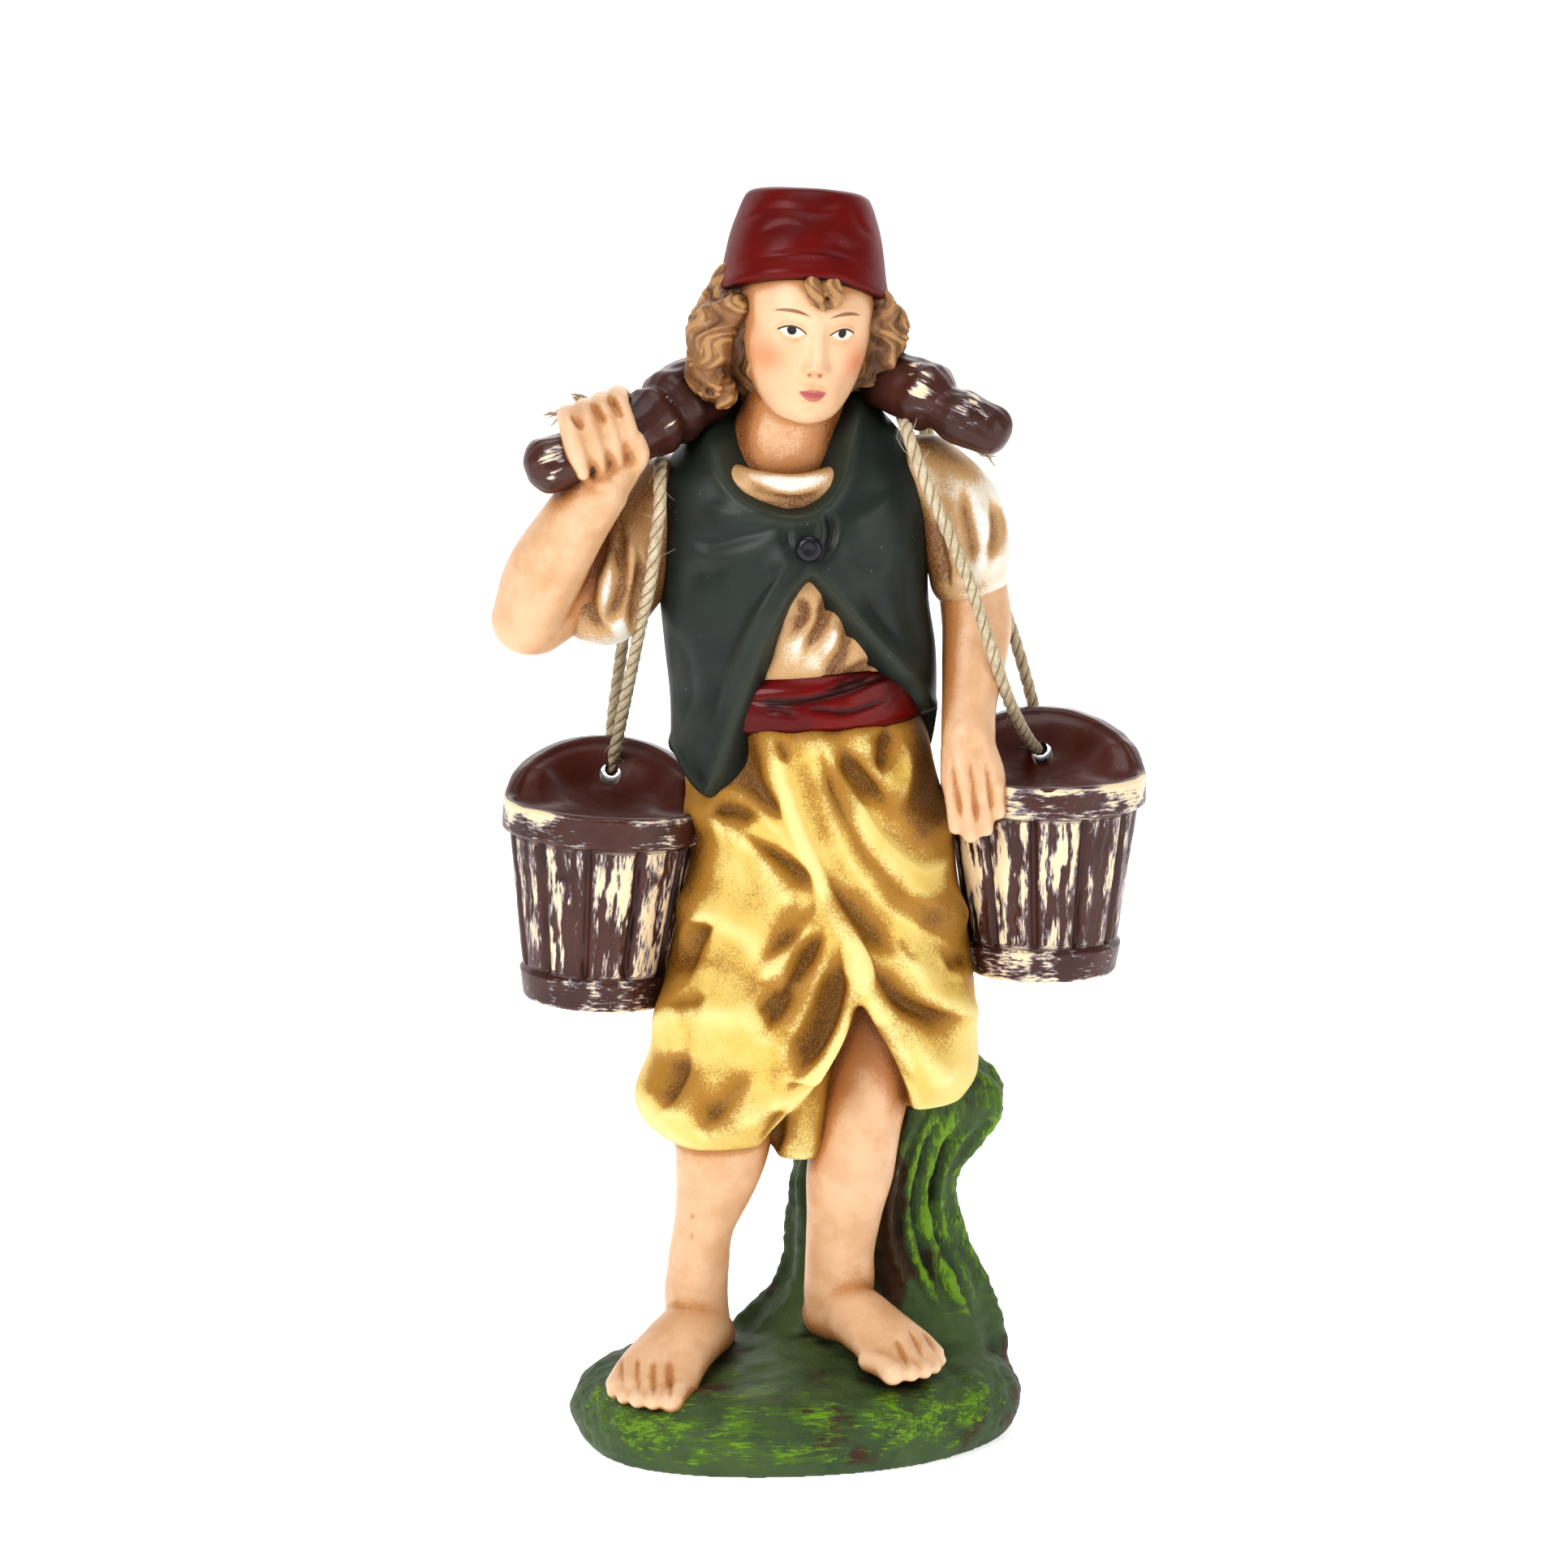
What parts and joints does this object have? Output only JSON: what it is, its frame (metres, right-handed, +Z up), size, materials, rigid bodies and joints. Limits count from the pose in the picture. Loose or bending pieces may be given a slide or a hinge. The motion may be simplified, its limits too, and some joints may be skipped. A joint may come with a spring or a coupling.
{
  "type": "presepe figure",
  "caption": "Painted plaster nativity figure: a barefoot water carrier with a shoulder yoke and stave buckets on real twine, cast with a tree stump and a grassy base.",
  "frame": {"origin": "middle of the base's flat underside", "axes": "+Z up, -Y the way the figure faces, +X to the viewer's right"},
  "size_m": [0.1037, 0.0568, 0.2015],
  "materials": {
    "painted_plaster": "hand-painted cast plaster with a brown antiquing wash",
    "twine": "raw jute twine, slightly hairy"
  },
  "bodies": {
    "root": {"figure": "painted_plaster", "twine_left": "twine", "knot_left": "twine", "twine_right": "twine", "knot_right": "twine"}
  },
  "joints": []
}
